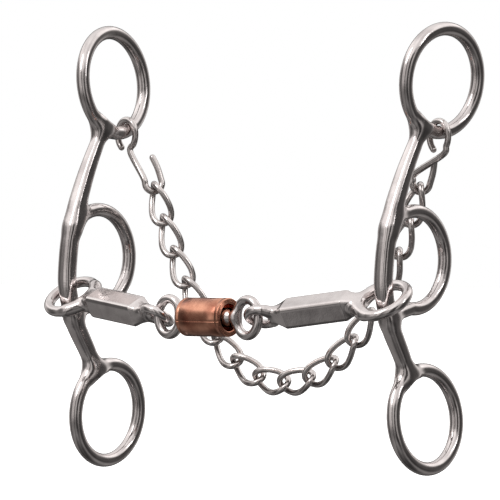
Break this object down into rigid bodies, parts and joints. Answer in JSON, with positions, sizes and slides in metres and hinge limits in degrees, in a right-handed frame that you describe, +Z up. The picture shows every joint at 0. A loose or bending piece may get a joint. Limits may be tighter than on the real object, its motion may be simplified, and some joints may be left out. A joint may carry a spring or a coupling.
{
  "type": "curb bit",
  "caption": "Loose-cheek curb bit: ringed cheeks, a jointed mouth with a copper roller, and a curb chain hung on wire hooks.",
  "frame": {"origin": "where the left cheek strap bears: top inner side of the left headstall ring", "axes": "+X from the left cheek to the right cheek, +Y to the rear (the rein and curb chain side), +Z up"},
  "size_m": [0.1517, 0.0592, 0.1456],
  "materials": {
    "polished_steel": "polished stainless steel casting",
    "chain_steel": "polished stainless steel wire",
    "copper": "satin copper"
  },
  "bodies": {
    "left_shank": {"left_shank": "polished_steel"},
    "right_shank": {"right_shank": "polished_steel"},
    "left_cannon": {"left_cannon": "polished_steel"},
    "right_cannon": {"right_cannon": "polished_steel"},
    "centre_link": {"centre_link": "polished_steel"},
    "copper_roller": {"copper_roller": "copper"},
    "left_curb_hook": {"left_curb_hook": "chain_steel"},
    "right_curb_hook": {"right_curb_hook": "chain_steel"},
    "chain_link_01": {"chain_link_01": "chain_steel"},
    "chain_link_02": {"chain_link_02": "chain_steel"},
    "chain_link_03": {"chain_link_03": "chain_steel"},
    "chain_link_04": {"chain_link_04": "chain_steel"},
    "chain_link_05": {"chain_link_05": "chain_steel"},
    "chain_link_06": {"chain_link_06": "chain_steel"},
    "chain_link_07": {"chain_link_07": "chain_steel"},
    "chain_link_08": {"chain_link_08": "chain_steel"},
    "chain_link_09": {"chain_link_09": "chain_steel"},
    "chain_link_10": {"chain_link_10": "chain_steel"},
    "chain_link_11": {"chain_link_11": "chain_steel"},
    "chain_link_12": {"chain_link_12": "chain_steel"},
    "chain_link_13": {"chain_link_13": "chain_steel"},
    "chain_link_14": {"chain_link_14": "chain_steel"},
    "chain_link_15": {"chain_link_15": "chain_steel"},
    "chain_link_16": {"chain_link_16": "chain_steel"}
  },
  "joints": [
    {"name": "mouthpiece_fold", "type": "hinge", "parent": "left_shank", "child": "left_cannon", "pos_m": [0.00634, -0.02529, -0.08503], "axis": [0, 0, -1], "range_deg": [-10.5, 7]},
    {"name": "left_link_pivot", "type": "hinge", "parent": "left_cannon", "child": "centre_link", "pos_m": [0.05284, -0.03391, -0.09103], "axis": [0, 0, -1], "range_deg": [-7, 10.5]},
    {"name": "right_link_pivot", "type": "hinge", "parent": "centre_link", "child": "right_cannon", "pos_m": [0.09164, -0.03391, -0.09103], "axis": [0, 0, -1], "range_deg": [-7, 10.5]},
    {"name": "right_cheek_pivot", "type": "hinge", "parent": "right_cannon", "child": "right_shank", "pos_m": [0.13814, -0.02529, -0.08503], "axis": [0, 0, -1], "range_deg": [-10.5, 7]},
    {"name": "roller_spin", "type": "hinge", "parent": "centre_link", "child": "copper_roller", "pos_m": [0.07224, -0.03391, -0.09103], "axis": [1, 0, 0], "continuous": true},
    {"name": "curb_swing", "type": "hinge", "parent": "left_shank", "child": "left_curb_hook", "pos_m": [0.00259, 0.00565, -0.03014], "axis": [0.9994, -0.0354, -0.0065], "range_deg": [-1, 20]},
    {"name": "right_hook_swing", "type": "hinge", "parent": "right_shank", "child": "right_curb_hook", "pos_m": [0.13923, 0.00081, -0.03104], "axis": [0.9994, -0.0354, -0.0065], "range_deg": [-1, 20]},
    {"name": "chain_joint_01", "type": "hinge", "parent": "left_curb_hook", "child": "chain_link_01", "pos_m": [0.01409, 0.00675, -0.04899], "axis": [-0.0348, -0.9994, 0], "range_deg": [-8.14, 5.49]},
    {"name": "chain_joint_02", "type": "hinge", "parent": "chain_link_01", "child": "chain_link_02", "pos_m": [0.01826, 0.0066, -0.05963], "axis": [-0.9949, 0.0346, -0.0948], "range_deg": [-8, 8]},
    {"name": "chain_joint_03", "type": "hinge", "parent": "chain_link_02", "child": "chain_link_03", "pos_m": [0.02296, 0.00644, -0.07005], "axis": [0.9806, -0.0341, 0.1931], "range_deg": [-8, 8]},
    {"name": "chain_joint_04", "type": "hinge", "parent": "chain_link_03", "child": "chain_link_04", "pos_m": [0.02834, 0.00625, -0.08013], "axis": [-0.9555, 0.0333, -0.293], "range_deg": [-8, 8]},
    {"name": "chain_joint_05", "type": "hinge", "parent": "chain_link_04", "child": "chain_link_05", "pos_m": [0.03459, 0.00603, -0.0897], "axis": [0.9192, -0.032, 0.3925], "range_deg": [-8, 8]},
    {"name": "chain_joint_06", "type": "hinge", "parent": "chain_link_05", "child": "chain_link_06", "pos_m": [0.04194, 0.00578, -0.09845], "axis": [-0.0348, -0.9994, 0], "range_deg": [-12.52, 18.68]},
    {"name": "chain_joint_07", "type": "hinge", "parent": "chain_link_06", "child": "chain_link_07", "pos_m": [0.05064, 0.00547, -0.10583], "axis": [0.8124, -0.0283, 0.5824], "range_deg": [-8, 8]},
    {"name": "chain_joint_08", "type": "hinge", "parent": "chain_link_07", "child": "chain_link_08", "pos_m": [0.06079, 0.00512, -0.11099], "axis": [-0.7442, 0.0259, -0.6675], "range_deg": [-8, 8]},
    {"name": "chain_joint_09", "type": "hinge", "parent": "chain_link_08", "child": "chain_link_09", "pos_m": [0.07201, 0.00473, -0.11289], "axis": [0.6714, -0.0234, 0.7407], "range_deg": [-8, 8]},
    {"name": "chain_joint_10", "type": "hinge", "parent": "chain_link_09", "child": "chain_link_10", "pos_m": [0.08322, 0.00434, -0.11099], "axis": [-0.6015, 0.0209, -0.7986], "range_deg": [-8, 8]},
    {"name": "chain_joint_11", "type": "hinge", "parent": "chain_link_10", "child": "chain_link_11", "pos_m": [0.09338, 0.00399, -0.10583], "axis": [-0.0348, -0.9994, 0], "range_deg": [-19.46, 13.04]},
    {"name": "chain_joint_12", "type": "hinge", "parent": "chain_link_11", "child": "chain_link_12", "pos_m": [0.10208, 0.00368, -0.09845], "axis": [-0.4905, 0.0171, -0.8713], "range_deg": [-8, 8]},
    {"name": "chain_joint_13", "type": "hinge", "parent": "chain_link_12", "child": "chain_link_13", "pos_m": [0.10943, 0.00343, -0.0897], "axis": [0.4496, -0.0157, 0.8931], "range_deg": [-8, 8]},
    {"name": "chain_joint_14", "type": "hinge", "parent": "chain_link_13", "child": "chain_link_14", "pos_m": [0.11568, 0.00321, -0.08013], "axis": [-0.416, 0.0145, -0.9093], "range_deg": [-8, 8]},
    {"name": "chain_joint_15", "type": "hinge", "parent": "chain_link_14", "child": "chain_link_15", "pos_m": [0.12106, 0.00302, -0.07005], "axis": [0.3879, -0.0135, 0.9216], "range_deg": [-8, 8]},
    {"name": "chain_joint_16", "type": "hinge", "parent": "chain_link_15", "child": "chain_link_16", "pos_m": [0.12576, 0.00286, -0.05963], "axis": [-0.3642, 0.0127, -0.9312], "range_deg": [-8, 8]}
  ],
  "couplings": [
    {"joint": "left_link_pivot", "follows": "mouthpiece_fold", "ratio": -1},
    {"joint": "right_link_pivot", "follows": "mouthpiece_fold", "ratio": -1},
    {"joint": "right_cheek_pivot", "follows": "mouthpiece_fold", "ratio": 1},
    {"joint": "right_hook_swing", "follows": "curb_swing", "ratio": 1},
    {"joint": "chain_joint_01", "follows": "mouthpiece_fold", "ratio": 0.7564},
    {"joint": "chain_joint_06", "follows": "mouthpiece_fold", "ratio": -1.7599},
    {"joint": "chain_joint_11", "follows": "mouthpiece_fold", "ratio": 1.8342}
  ]
}
